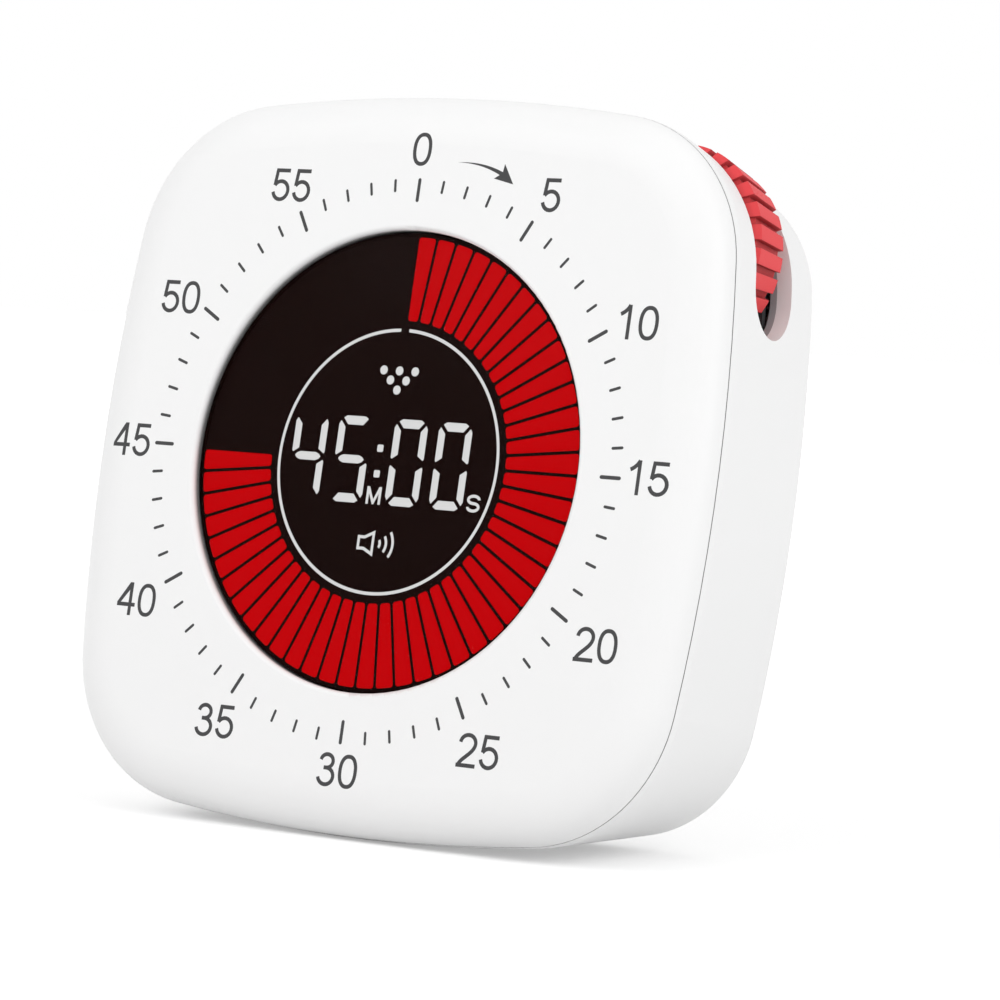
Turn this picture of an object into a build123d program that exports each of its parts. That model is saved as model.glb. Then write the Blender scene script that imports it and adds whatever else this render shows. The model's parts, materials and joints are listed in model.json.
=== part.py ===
from build123d import *
import math
import os

# Visual countdown timer: a soft-cornered square case with a round light display, set by a thumb wheel.
#
# Everything is modelled in the face frame: X to the right and Y up along the dial face, Z out of the
# face towards the user, with the origin at the dial's centre. Depths are measured behind the face, so
# a depth d is Z = -d. At the end the whole timer is leaned back to stand on its underside: +Z is then up,
# the dial faces -Y, and the origin is the middle of the foot pad. All sizes are in millimetres.

# ---------------------------------------------------------------- case
case_width = 90.0            # across the widest line, and the same in height
case_depth = 31.5
side_arc_radius = 230.0      # the sides bulge slightly
corner_arc_radius = 19.2
draft = 9.0                  # the sides narrow towards the rear by this angle, in degrees
widest_depth = 5.0           # where the case is widest
front_round = 6.5            # how far the front edge's rounding reaches in from the side
rear_round = 10.0            # the same at the rear edge
rear_round_depth = 4.4
edge_fullness = 0.62         # 0.55 makes an elliptical edge, more makes it squarer
face_wall = 2.2
front_side_wall = 2.5
rear_side_wall = 2.0
rear_wall = 2.0
seam_depth = 3.9             # the seam runs round the front edge's rounding
seam_gap = 0.15
tongue_wall = 0.9            # the front shell's lip inside the rear housing
tongue_length = 2.0
fit_gap = 0.05               # between parts that slide together without play

# ---------------------------------------------------------------- window and display
window_radius = 28.0
window_lip = 0.6
display_drop = 1.35          # from the face to the display's surface
lens_thickness = 0.5
lens_gap = 0.2
lens_bond = 0.1              # thickness of the adhesive ring under the lens, and its margin to the segments
flange_overlap = 2.6         # display housing behind the window's edge
flange_thickness = 4.2
segment_count = 60
lit_segments = 45
segment_margin = 0.7         # from the window's edge to the segments
segment_gap = 0.4
segment_corner = 0.35
diffuser_thickness = 1.2
ring_margin = 0.98           # from the segments to the ring
digit_margin = 0.61          # from the ring to the outermost digit's corner
ring_width = 0.39
ring_break = 1.2
ring_well_count = 12
digit_height = 10.48
digit_width = 4.85
digit_upright = 0.97         # width of a digit's upright bars
digit_level = 1.08           # width of its top and bottom bars
digit_middle = 1.0           # width of its middle bar
digit_joint_gap = 0.33       # between a mitred corner's two bars, along either
digit_tip_cut = (0.74, 0.4)  # how far a corner's tips are cut back, along the outer edge and the mitre
digit_waist = 0.3            # from the digit's middle to the upright bars' tips
digit_waist_gap = 0.42       # from the middle bar to the upright bars' inner edges
digit_waist_cut = (0.28, 0.18)
digit_middle_end = ((1.28, 1), (0.78, 0.6), (0.52, 0))   # in from the digit's side, share of half width
digit_pitch = 6.46           # between the two digits of a pair
pair_pitch = 8.22            # between the pairs, across the colon
digit_group_shift = -1.215   # the group sits left of centre to leave room for the letters
colon_size = 0.88
colon_spread = 3.1
letter_height = 2.13
letter_stroke = 0.36
letter_gap = 0.57            # from the last digit to its letter
letter_m_width = 2.14
letter_m_dip = 0.83          # how far down the M's middle reaches, as a share of its half height
letter_s_width = 1.92
letter_s_start = 0           # where the S begins on its upper bowl, in degrees
dot_radius = 0.55
dot_pitch = 2.3
dot_row_pitch = 1.165
dot_level = 11.02
icon_level = -9.92
icon_stroke = 0.36
icon_profile = ((-2.67, 0.88), (-1.7, 0.86), (-0.2, 1.58))   # upper half of the loudspeaker's outline
icon_wave_x = -0.08          # centre of the sound waves
icon_waves = ((0.74, 37), (1.65, 35), (2.62, 35))   # radius and half angle of each sound wave

# ---------------------------------------------------------------- boards and light sources
board_thickness = 1.6
board_margin = 6.4           # display board beyond the display housing
board_screw_margin = 3.1
board_screw_angles = (0, 110, 180, 240, 300)
board_lobe_radius = 8.5      # round the wheel's encoder
well_radius = 0.9            # light wells behind the icons
ring_well_radius = 0.5
led_height = 0.6
led_long = 1.6
led_short = 0.8
led_tiny = 0.5
chip_table = (               # x, y, width, height and thickness
    (-8.0, -6.0, 7.0, 7.0, 1.2),
    (9.0, -10.0, 10.0, 6.0, 1.5),
    (-14.0, 10.0, 5.0, 6.0, 1.5),
)
socket_width = 6.0
socket_depth = 4.5
socket_height = 5.0
board_boss_radius = 2.3
board_screw_radius = 0.9
board_screw_head_radius = 1.9
board_screw_head = 1.2
board_screw_length = 4.5
screw_gap = 0.02             # between a screw's thread and its pilot hole
recess_reach = 1.3           # cross recess in a screw's head, as shares of the head's radius
recess_share = 0.3
clearance = 0.4              # around bosses and between parts that must not touch
overrun = 1.0                # how far a cutting tool reaches past what it cuts

# ---------------------------------------------------------------- thumb wheel and encoder
wheel_setback = 15.7         # wheel axis in from the case's widest line, on both sides of the corner
wheel_radius = 12.4
wheel_width = 8.0
wheel_front_gap = 0.95       # from the slot's front edge to the wheel
wheel_chamfer = 1.1
wheel_chamfer_rise = 1.25
wheel_teeth = 27
tooth_share = 0.66
tooth_depth = 0.75
tooth_phase = 6.0            # angle of one tooth's lower edge, in degrees from the +X direction
rim_wall = 2.0
web_thickness = 2.6
hub_radius = 5.2
hub_floor = 0.8              # closes the wheel's bore at the rear
slot_front = 9.6             # depth of the slot's front edge
slot_width = 11.4
slot_end_drop = 4.3          # centre of the slot's round end below the wheel's axis
bezel_wall = 0.9
bezel_border = 1.6
guard_wall = 1.0
guard_gap = 1.0
guard_kept_angle = 84.0      # the guard's wall spans this far to each side of its middle
encoder_size = 11.7
encoder_height = 4.5
encoder_wall = 1.2           # its front and rear
encoder_cavity_radius = 5.0
rotor_radius = 4.6
rotor_thickness = 1.2
encoder_bush_radius = 3.6
encoder_bush_length = 2.0
shaft_radius = 3.0
shaft_flat = 1.0             # how much the flat on the shaft cuts off
stub_radius = 2.0
stub_length = 4.2
wheel_bush_radius = 3.2
wheel_bush_length = 3.0

# ---------------------------------------------------------------- rear housing's fittings
front_boss_radius = 3.0
rear_boss_radius = 3.8
corner_boss_margin = 6.88    # from the display housing's flange to the boss's centre
top_boss_x = 10.0
top_boss_margin = 4.84
boss_joint_depth = 10.0      # where the front and rear bosses meet
case_screw_radius = 1.15
case_screw_head_radius = 2.3
case_screw_head = 1.6
case_screw_length = 16.0
case_screw_seat = 22.0       # depth of the seat under the screw's head
battery_width = 38.0
battery_height = 22.0
battery_thickness = 7.0
battery_level = -6.5
battery_pad = 0.5            # thickness of the adhesive pad behind the battery
pad_margin = 4.0
rib_wall = 1.0
rib_height = 3.0
speaker_radius = 12.5
speaker_x = -10.0
speaker_y = 18.6
speaker_rim = 1.7
speaker_cup = 4.1            # from the frame's flange to its back
speaker_sheet = 0.8
speaker_magnet_radius = 6.0
speaker_magnet_height = 2.5
speaker_gasket = 0.8
grille_hole_radius = 0.75
grille_pitch = 2.6
grille_rings = 3
magnet_radius = 4.5
magnet_thickness = 2.0
magnet_x = 26.2
magnet_level = -2.0
foot_width = 16.0
foot_length = 13.8
foot_start = 8.0             # from the widest line to the foot, along the underside
foot_proud = 0.2             # below the underside's lowest line
foot_embed = 1.3
foot_corner = 3.0

# ---------------------------------------------------------------- input board and controls
io_board_standoff = 8.3      # from the board to the rear wall
io_board_setback = 16.8
io_board_width = 44.0
io_board_height = 9.4
io_board_thickness = 1.2
io_post_margin = 2.1         # from the board's end to its screw
io_post_radius = 2.1
io_screw_radius = 0.8
io_screw_head_radius = 1.6
io_screw_head = 1.2
io_screw_length = 5.0
usb_width = 8.94
usb_height = 3.26
usb_wall = 0.3
usb_end_flat = 0.1           # half the flat at each rounded end
usb_tongue_width = 6.69
usb_tongue = 0.7
usb_mouth_inset = 1.2
port_gap = 0.27
plug_recess_width = 13.0
plug_recess_height = 7.2
recess_depth = 1.0
control_inset = 0.2          # knob and button stay this far below the rear face
control_margin = 9.0         # from the board's end to the middle of the switch and of the button
switch_width = 8.5
switch_height = 3.6
switch_body_height = 3.4
knob_width = 3.2
knob_height = 2.6
knob_stem = 1.6
knob_cap = 2.4
switch_travel = 2.0          # to each side of the middle position
switch_recess_margin = 1.6
recess_roundness = 2.4       # a recess's height over its corner radius
button_radius = 3.5
button_flange = 0.9
button_flange_thickness = 1.0
button_travel = 0.8
button_recess_radius = 5.6
tact_size = 6.0
tact_height = 3.4
plunger_radius = 1.7
plunger_length = 3.8
link_pins = 5
link_pitch = 2.0
link_pin = 0.6
header_height = 2.5
header_width = 2.6
header_margin = 0.4
link_pin_length = 7.5
usb_base = 1.5
switch_floor = 1.0
knob_rib_pitch = 1.0
knob_rib_height = 0.3
control_gap = 0.3            # round the knob and the button, in the rear wall
button_rest_gap = 0.1
button_edge = 0.6
charger_margin = 12.0        # from the board's end to the middle of the charging chip
charger_size = 4.0
charger_height = 0.9
coil_height = 2.0
battery_corner = 1.6
battery_lead_x = 6.75
battery_socket_y = 9.0
speaker_lead_x = 7.2
lead_radius = 0.5
lead_pitch = 1.5
lead_bend = 0.45             # a lead's bend radius, as a share of its shorter run
terminal_reach = 0.7
terminal_width = 4.0
terminal_depth = 26.2
speaker_vent = 1.5
coil_radius = 3.6
paper = 0.3
boss_wall = 1.3
speaker_nest_gap = 0.2
battery_nest_gap = 0.3

# ---------------------------------------------------------------- derived sizes
half = case_width / 2
slope = math.tan(math.radians(draft))
side_centre = half - side_arc_radius
corner_reach = side_arc_radius - corner_arc_radius
corner_centre = (side_centre + math.sqrt(2 * corner_reach**2 - side_centre**2)) / 2
side_half_angle = math.degrees(math.atan2(corner_centre, corner_centre - side_centre))
inside_depth = case_depth - rear_wall
display_radius = window_radius - lens_gap
flange_radius = window_radius + flange_overlap
board_front = face_wall + flange_thickness
board_rear = board_front + board_thickness
board_radius = flange_radius + board_margin
board_screw_ring = flange_radius + board_screw_margin
segment_outer = window_radius - segment_margin
digit_reach = pair_pitch / 2 + digit_pitch + digit_width / 2 - digit_group_shift
ring_inner = math.hypot(digit_reach, digit_height / 2) + digit_margin
ring_outer = ring_inner + ring_width
segment_inner = ring_outer + ring_margin
letter_level = (letter_height - digit_height) / 2
minute_letter_x = digit_group_shift
last_digit_x = digit_group_shift + pair_pitch / 2 + digit_pitch
second_letter_x = last_digit_x + (digit_width + letter_s_width) / 2 + letter_gap
wheel_axis = half - wheel_setback
wheel_front = slot_front + wheel_front_gap
wheel_rear = wheel_front + wheel_width
wheel_crest = wheel_front + wheel_chamfer
slot_end = wheel_axis - slot_end_drop
slot_middle = slot_front + slot_width / 2
tongue_end = seam_depth + tongue_length
tongue_outside = front_side_wall - tongue_wall
bush_front = wheel_rear + clearance * 2
guard_front = slot_front + fit_gap
guard_plate_front = wheel_rear + guard_gap
guard_plate_rear = guard_plate_front + guard_wall
corner_boss = (flange_radius + corner_boss_margin) / math.sqrt(2)
top_boss_y = math.sqrt((flange_radius + top_boss_margin) ** 2 - top_boss_x**2)
case_bosses = (
    (-corner_boss, corner_boss),
    (-corner_boss, -corner_boss),
    (corner_boss, -corner_boss),
    (top_boss_x, top_boss_y),
)
io_level = io_board_setback - half
io_rear = inside_depth - io_board_standoff
io_board_depth = io_rear - io_board_thickness
io_post_x = io_board_width / 2 - io_post_margin
button_x = io_board_width / 2 - control_margin
switch_x = -button_x
charger_x = io_board_width / 2 - charger_margin
control_top = case_depth - control_inset
lean = math.radians(draft)   # the case stands on its tapered underside, so the face leans back
core_inset = front_round + rear_round   # well inside both rounded edges
board_screw_places = [
    (board_screw_ring * math.cos(math.radians(angle)), board_screw_ring * math.sin(math.radians(angle)))
    for angle in board_screw_angles
]
encoder_rear = board_rear + encoder_height
cavity_front = board_rear + encoder_wall
cavity_rear = encoder_rear - encoder_wall
rotor_front = cavity_front + clearance
bush_rear = encoder_rear + encoder_bush_length
hub_front = bush_rear + clearance
shaft_end = wheel_rear - hub_floor
battery_rear = inside_depth - battery_pad
battery_nest_width = battery_width + 2 * battery_nest_gap
battery_nest_height = battery_height + 2 * battery_nest_gap
speaker_front = inside_depth - speaker_gasket
speaker_nest = speaker_radius + speaker_nest_gap
socket_rear = board_rear + socket_height
switch_rear = io_rear + switch_body_height
tact_rear = io_rear + tact_height
plunger_front = io_rear + switch_floor + clearance / 2 + button_travel
pin_end = board_rear + link_pin_length
usb_mouth = case_depth - usb_mouth_inset
foot_middle = foot_start + foot_length / 2


def skin(depth):
    """How far the case's surface lies inside its widest line at a depth behind that line."""
    return (depth - widest_depth) * slope


# ---------------------------------------------------------------- helpers
def plate(sketch, front, rear):
    """A flat sketch as a solid between two depths."""
    return extrude(Pos(Z=-rear) * sketch, rear - front)


def rod(x, y, radius, front, rear):
    return plate(Pos(x, y) * Circle(radius), front, rear)


def block(x, y, width, height, front, rear):
    return plate(Pos(x, y) * Rectangle(width, height), front, rear)


def tube(x, y, outer, inner, front, rear):
    return rod(x, y, outer, front, rear) - rod(x, y, inner, front, rear)


def joined(shapes):
    """The union of a list of shapes."""
    shapes = list(shapes)
    return shapes[0].fuse(*shapes[1:]) if len(shapes) > 1 else shapes[0]


def outline_edges(inset):
    """The case's outline, moved inwards by inset: four side arcs and four corner arcs."""
    edges = []
    for turn in range(4):
        side = CenterArc((side_centre, 0), side_arc_radius - inset, -side_half_angle, 2 * side_half_angle)
        corner = CenterArc(
            (corner_centre, corner_centre),
            corner_arc_radius - inset,
            side_half_angle,
            90 - 2 * side_half_angle,
        )
        edges += [Rot(Z=90 * turn) * arc for arc in (side, corner)]
    return [edge for arc in edges for edge in arc.edges()]


def outline(inset):
    return make_face(outline_edges(inset))


def section(*curves):
    """A closed wall section. Its points are (inset from the widest line, depth)."""
    return make_face([edge for curve in curves for edge in (Plane.XZ * curve).edges()])


def spot(inset, depth):
    return (half - inset, -depth)


def soften(start, corner):
    return tuple(s + (c - s) * edge_fullness for s, c in zip(start, corner))


def soft_points(start, corner, end):
    """Control points of a rounded edge that is tangent at both ends to the lines that meet at corner."""
    return [start, soften(start, corner), soften(end, corner), end]


def soft_edge(start, corner, end):
    return Bezier(*soft_points(start, corner, end))


def divided(points, share):
    """A curve's control points, divided in two at a share of its length."""
    first, second = [points[0]], [points[-1]]
    while len(points) > 1:
        points = [tuple(a + (b - a) * share for a, b in zip(*pair)) for pair in zip(points, points[1:])]
        first.append(points[0])
        second.insert(0, points[-1])
    return first, second


front_edge = soft_points(spot(front_round, 0), spot(0, 0), spot(0, widest_depth))


def front_edge_at(depth):
    """The front edge's rounding as two curves that meet at a depth."""
    low, high = 0, 1
    while high - low > 1e-9:
        share = (low + high) / 2
        if -divided(front_edge, share)[1][0][1] < depth:
            low = share
        else:
            high = share
    return divided(front_edge, low)


def chain(*points):
    """Straight wall lines through points of (inset, depth)."""
    return Polyline(*[spot(*point) for point in points])


def swept_wall(*curves):
    """A wall section carried once round the case's outline."""
    return sweep(section(*curves), path=Wire(outline_edges(0)))


def turned(*points):
    """A solid of revolution about Z. Its points are (radius, depth)."""
    return revolve(section(Polyline(*[(r, -d) for r, d in points], close=True)), Axis.Z)


def on_wheel(shape):
    return Pos(wheel_axis, wheel_axis) * shape


def slot_tool(grow):
    """The wheel's slot round the corner, as a solid, with its edges moved outwards by grow."""
    reach = half + wheel_radius - slot_end
    middle = slot_end + reach / 2
    radius = slot_width / 2 + grow
    corner = block(middle, middle, reach, reach, slot_middle - radius, slot_middle + radius)
    lying = Pos(middle, slot_end, -slot_middle) * Rot(Y=90) * Cylinder(radius, reach)
    standing = Pos(slot_end, middle, -slot_middle) * Rot(X=90) * Cylinder(radius, reach)
    return corner + lying + standing


def case_inside(inset, front, rear):
    """The space inside the case between two depths, inset from the case's surface."""
    ends = [Pos(Z=-depth) * outline(skin(depth) + inset) for depth in (front, rear)]
    return loft(ends)


def screw(x, y, head, shank, seat, towards_front=True):
    """A cross-head screw seated at a depth. Its head and shank are each (radius, length)."""
    head_radius, head_height = head
    shank_radius, shank_length = shank
    body = Pos(Z=head_height / 2) * Cylinder(head_radius, head_height)
    body += Pos(Z=-shank_length / 2) * Cylinder(shank_radius, shank_length)
    arm = Pos(Z=head_height) * Box(head_radius * recess_reach, head_radius * recess_share, head_height)
    body -= arm + Rot(Z=90) * arm
    facing = Rot(X=180) if towards_front else Rot()
    return Pos(x, y, -seat) * facing * body


# ---------------------------------------------------------------- display artwork as plane shapes
def segment_cell():
    """One wedge of the progress ring, pointing up, with its edges parallel to the neighbours'."""
    half_angle = math.radians(180 / segment_count)

    def corner(radius):
        x = radius * math.sin(half_angle) - segment_gap / 2 / math.cos(half_angle)
        return x, math.sqrt(radius**2 - x**2)

    inner_x, inner_y = corner(segment_inner)
    outer_x, outer_y = corner(segment_outer)
    wedge = make_face(
        [
            Line((-inner_x, inner_y), (-outer_x, outer_y)).edge(),
            ThreePointArc((-outer_x, outer_y), (0, segment_outer), (outer_x, outer_y)).edge(),
            Line((outer_x, outer_y), (inner_x, inner_y)).edge(),
            ThreePointArc((inner_x, inner_y), (0, segment_inner), (-inner_x, inner_y)).edge(),
        ]
    )
    return fillet(wedge.vertices(), segment_corner)


def segment_cells(first, last):
    cell = segment_cell()
    step = 360 / segment_count
    return [Rot(Z=-step * (index + 0.5)) * cell for index in range(first, last)]


def blunted(tip, outer, inner, cut):
    """A bar's sharp tip cut across: a point on its outer edge and one on its mitre."""
    tip, outer, inner = Vector(tip), Vector(outer), Vector(inner)
    return [tip + (outer - tip).normalized() * cut[0], tip + (inner - tip).normalized() * cut[1]]


def digit_bars():
    """The seven bars of a digit, by their usual letters, centred on the digit."""
    x, y = digit_width / 2, digit_height / 2
    inner_x, inner_y = x - digit_upright, y - digit_level
    g = digit_joint_gap
    half_middle = digit_middle / 2

    level_end = Vector(inner_x - g, inner_y)
    level_tip = blunted((x - g, y), (0, y), level_end, digit_tip_cut)
    upright_top = Vector(inner_x, inner_y - g)
    upright_foot = Vector(inner_x, half_middle + digit_waist_gap)
    upright_tip = blunted((x, y - g), (x, 0), upright_top, digit_tip_cut)
    waist_tip = blunted((x, digit_waist), (x, y), upright_foot, digit_waist_cut)

    top_half = level_tip + [level_end]
    upper = upright_tip + [upright_top, upright_foot] + waist_tip[::-1]
    middle_half = [Vector(x - inset, half_middle * share) for inset, share in digit_middle_end]

    def bar(points, flip_x=1, flip_y=1):
        places = [(point.X * flip_x, point.Y * flip_y) for point in points]
        return make_face(Polyline(*places, close=True).edges())

    def mirrored(points, flip_x, flip_y):
        return [Vector(point.X * flip_x, point.Y * flip_y) for point in reversed(points)]

    top = top_half + mirrored(top_half, -1, 1)
    right_end = middle_half + mirrored(middle_half[:-1], 1, -1)
    middle = right_end + mirrored(right_end, -1, 1)
    return {
        "a": bar(top),
        "b": bar(upper),
        "c": bar(upper, flip_y=-1),
        "d": bar(top, flip_y=-1),
        "e": bar(upper, flip_x=-1, flip_y=-1),
        "f": bar(upper, flip_x=-1),
        "g": bar(middle),
    }


digit_centres = [
    digit_group_shift - pair_pitch / 2 - digit_pitch,
    digit_group_shift - pair_pitch / 2,
    digit_group_shift + pair_pitch / 2,
    last_digit_x,
]
shown_bars = ("bcfg", "acdfg", "abcdef", "abcdef")  # reads 45 00


def bars(shown):
    """The bars of all four digits that are lit, or those that are not."""
    return [
        Pos(X=centre) * bar
        for centre, lit in zip(digit_centres, shown_bars)
        for letter, bar in digit_bars().items()
        if (letter in lit) == shown
    ]


def colon():
    dot = RectangleRounded(colon_size, colon_size, colon_size / 5)
    return [Pos(digit_group_shift, side * colon_spread / 2) * dot for side in (1, -1)]


def ring_shape():
    gap = Pos(Y=ring_outer) * Rectangle(ring_break, ring_width * 4)
    return Circle(ring_outer) - Circle(ring_inner) - gap


dot_places = [
    (dot_pitch * (index - (count - 1) / 2), dot_level - dot_row_pitch * row)
    for row, count in enumerate((3, 2, 1))
    for index in range(count)
]


def dots():
    """Six dots in rows of three, two and one."""
    return [Pos(x, y) * Circle(dot_radius) for x, y in dot_places]


def letter_m():
    x, y = (letter_m_width - letter_stroke) / 2, letter_height / 2
    letter = trace(Polyline((-x, -y), (-x, y), (0, -y * letter_m_dip), (x, y), (x, -y)), letter_stroke)
    for side in (1, -1):
        letter -= Pos(Y=side * letter_height) * Rectangle(2 * letter_m_width, letter_height)
    return letter


def letter_s():
    """Two oval bowls, one above the other, each open towards its own end."""
    radius_x = (letter_s_width - letter_stroke) / 2
    radius_y = (letter_height - letter_stroke) / 4
    angles = [letter_s_start + (270 - letter_s_start) * step / 12 for step in range(13)]
    ovals = [(math.cos(math.radians(angle)), math.sin(math.radians(angle)) + 1) for angle in angles]
    upper = [(radius_x * x, radius_y * y) for x, y in ovals]
    lower = [(-x, -y) for x, y in reversed(upper[:-1])]
    return trace(Spline(*upper, *lower), letter_stroke)


def speaker_icon():
    """A loudspeaker drawn in outline, and its three sound waves."""
    lower_half = [(x, -y) for x, y in reversed(icon_profile)]
    solid = make_face(Polyline(*icon_profile, *lower_half, close=True).edges())
    shapes = [solid - offset(solid, -icon_stroke)]
    for radius, half_angle in icon_waves:
        shapes.append(trace(CenterArc((icon_wave_x, 0), radius, -half_angle, 2 * half_angle), icon_stroke))
    return [Pos(Y=icon_level) * shape for shape in shapes]


def letters():
    return [
        Pos(minute_letter_x, letter_level) * letter_m(),
        Pos(second_letter_x, letter_level) * letter_s(),
    ]


well_places = [(minute_letter_x, letter_level), (second_letter_x, letter_level), (0, icon_level)]


# ---------------------------------------------------------------- case
def front_shell():
    """The dial face with its window, screw bosses, and the tongue that locates the rear housing."""
    rounding = front_edge_at(seam_depth)[0]
    rim = swept_wall(
        chain((core_inset, 0), (front_round, 0)),
        Bezier(*rounding),
        Line(rounding[-1], spot(tongue_outside, seam_depth)),
        chain(
            (tongue_outside, seam_depth),
            (tongue_outside, tongue_end),
            (front_side_wall, tongue_end),
            (front_side_wall, widest_depth),
        ),
        soft_edge(
            spot(front_side_wall, widest_depth),
            spot(front_side_wall, face_wall),
            spot(front_round + face_wall, face_wall),
        ),
        chain((front_round + face_wall, face_wall), (core_inset, face_wall), (core_inset, 0)),
    )
    face = plate(outline(core_inset - overrun), 0, face_wall)
    case_screw_bosses = [rod(x, y, front_boss_radius, face_wall, boss_joint_depth) for x, y in case_bosses]
    board_bosses = [rod(x, y, board_boss_radius, face_wall, board_front) for x, y in board_screw_places]
    shell = joined([rim, face] + case_screw_bosses + board_bosses)
    pilot_end = case_screw_seat - case_screw_length - clearance
    pilots = [rod(x, y, case_screw_radius + screw_gap, pilot_end, boss_joint_depth) for x, y in case_bosses]
    board_pilot_end = board_rear - board_screw_length - clearance
    pilots += [
        rod(x, y, board_screw_radius + screw_gap, board_pilot_end, board_front) for x, y in board_screw_places
    ]
    shell = shell - pilots - rod(0, 0, window_radius, -overrun, face_wall + overrun)
    lip = shell.edges().filter_by(GeomType.CIRCLE).filter_by(lambda e: abs(e.radius - window_radius) < 1e-4)
    return fillet(lip.group_by(Axis.Z)[-1], window_lip)


def rear_wall_ring():
    """The housing's side wall and rounded rear edge, with a step that takes the front shell's tongue."""
    rim_depth = seam_depth + seam_gap
    turn = case_depth - rear_round_depth
    flat = skin(turn) + rear_round
    rebate = tongue_outside - fit_gap
    rounding = front_edge_at(rim_depth)[1]
    return swept_wall(
        chain((rebate, tongue_end), (rebate, rim_depth)),
        Line(spot(rebate, rim_depth), rounding[0]),
        Bezier(*rounding),
        chain((0, widest_depth), (skin(turn), turn)),
        soft_edge(spot(skin(turn), turn), spot(skin(case_depth), case_depth), spot(flat, case_depth)),
        chain((flat, case_depth), (core_inset, case_depth), (core_inset, inside_depth), (flat, inside_depth)),
        soft_edge(
            spot(flat, inside_depth),
            spot(skin(inside_depth) + rear_side_wall, inside_depth),
            spot(skin(turn) + rear_side_wall, turn),
        ),
        chain(
            (skin(turn) + rear_side_wall, turn),
            (skin(tongue_end) + rear_side_wall, tongue_end),
            (rebate, tongue_end),
        ),
    )


def foot_shape(grow, proud):
    """The foot pad, or with grow the pocket for it, across the tapered underside."""
    facing = (0, -math.cos(lean), -math.sin(lean))
    underside = Plane(origin=(0, -half, -widest_depth), x_dir=(1, 0, 0), z_dir=facing)
    pad = RectangleRounded(foot_width + 2 * grow, foot_length + 2 * grow, foot_corner + grow)
    return underside * Pos(Y=-foot_middle, Z=-foot_embed) * extrude(pad, foot_embed + proud)


def grille_holes():
    """Sound holes in hexagonal rings over the speaker."""
    places = [(0, 0)]
    for ring in range(1, grille_rings + 1):
        for step in range(6 * ring):
            angle = math.radians(60 * step / ring)
            places.append((ring * grille_pitch * math.cos(angle), ring * grille_pitch * math.sin(angle)))
    return [
        rod(speaker_x + x, speaker_y + y, grille_hole_radius, inside_depth - overrun, case_depth + overrun)
        for x, y in places
    ]


def wheel_boss():
    """The pillar behind the wheel: it holds the wheel's rear bush, and its shoulder carries the guard."""
    pillar = rod(0, 0, wheel_bush_radius + boss_wall, bush_front, inside_depth + rear_wall / 2)
    shoulder = rod(0, 0, wheel_bush_radius + 2 * boss_wall, guard_plate_rear, inside_depth + rear_wall / 2)
    pocket = rod(0, 0, wheel_bush_radius + screw_gap, bush_front, bush_front + wheel_bush_length)
    relief = rod(0, 0, stub_radius + clearance, bush_front, wheel_rear + stub_length + clearance)
    return on_wheel(pillar + shoulder - pocket - relief)


def rear_housing():
    """The tapered rear bowl with everything that is moulded into it."""
    overlap = rear_wall / 2
    bowl = rear_wall_ring() + plate(outline(core_inset - overrun), inside_depth, case_depth)
    bowl -= slot_tool(0)
    posts = [rod(x, y, rear_boss_radius, boss_joint_depth, inside_depth + overlap) for x, y in case_bosses]
    posts += [
        rod(side * io_post_x, io_level, io_post_radius, io_rear, inside_depth + overlap) for side in (-1, 1)
    ]
    rib_front, rib_rear = inside_depth - rib_height, inside_depth + overlap
    fence_width, fence_height = battery_nest_width + 2 * rib_wall, battery_nest_height + 2 * rib_wall
    ribs = [
        tube(speaker_x, speaker_y, speaker_nest + rib_wall, speaker_nest, rib_front, rib_rear),
        block(0, battery_level, fence_width, fence_height, rib_front, rib_rear)
        - block(0, battery_level, battery_nest_width, battery_nest_height, rib_front, rib_rear),
    ]
    magnet_nest = magnet_radius + screw_gap
    magnet_ribs = [
        tube(side * magnet_x, magnet_level, magnet_nest + rib_wall, magnet_nest,
             inside_depth - magnet_thickness, rib_rear)
        for side in (-1, 1)
    ]
    moulded = joined([bowl, wheel_boss()] + posts + ribs + magnet_ribs)
    terminal_x = speaker_x + speaker_nest + rib_wall
    terminal_gap = terminal_width + 2 * clearance
    cuts = [block(terminal_x, speaker_y, 3 * rib_wall, terminal_gap, rib_front - overrun, inside_depth)]
    for x, y in case_bosses:
        shank_radius = case_screw_radius + clearance / 2
        cuts.append(rod(x, y, shank_radius, boss_joint_depth - overrun, case_screw_seat + overrun))
        cuts.append(rod(x, y, case_screw_head_radius + clearance, case_screw_seat, case_depth + overrun))
    pilot_radius = io_screw_radius + screw_gap
    pilot_end = io_board_depth + io_screw_length + clearance
    for side in (-1, 1):
        cuts.append(rod(side * io_post_x, io_level, pilot_radius, io_rear - overrun, pilot_end))
    port_width, port_height = usb_width + 2 * port_gap, usb_height + 2 * port_gap
    port = Pos(0, io_level) * RectangleRounded(port_width, port_height, port_height / 2 - port_gap)
    plug_corner = plug_recess_height / recess_roundness
    plug_recess = Pos(0, io_level) * RectangleRounded(plug_recess_width, plug_recess_height, plug_corner)
    slot_length = knob_width + 2 * switch_travel + 2 * control_gap
    slot_height = knob_height + 2 * control_gap
    recess_width = slot_length + 2 * switch_recess_margin
    recess_height = knob_height + 2 * switch_recess_margin
    switch_corner = recess_height / recess_roundness
    switch_recess = Pos(switch_x, io_level) * RectangleRounded(recess_width, recess_height, switch_corner)
    recess_floor = case_depth - recess_depth
    cuts += [
        plate(port, inside_depth - overrun, case_depth + overrun),
        plate(plug_recess, recess_floor, case_depth + overrun),
        plate(switch_recess, recess_floor, case_depth + overrun),
        block(switch_x, io_level, slot_length, slot_height, inside_depth - overrun, case_depth + overrun),
        rod(button_x, io_level, button_recess_radius, recess_floor, case_depth + overrun),
        rod(button_x, io_level, button_radius + control_gap, inside_depth - overrun, case_depth + overrun),
    ]
    return moulded - cuts - grille_holes() - foot_shape(fit_gap, 2 * foot_embed)


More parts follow.
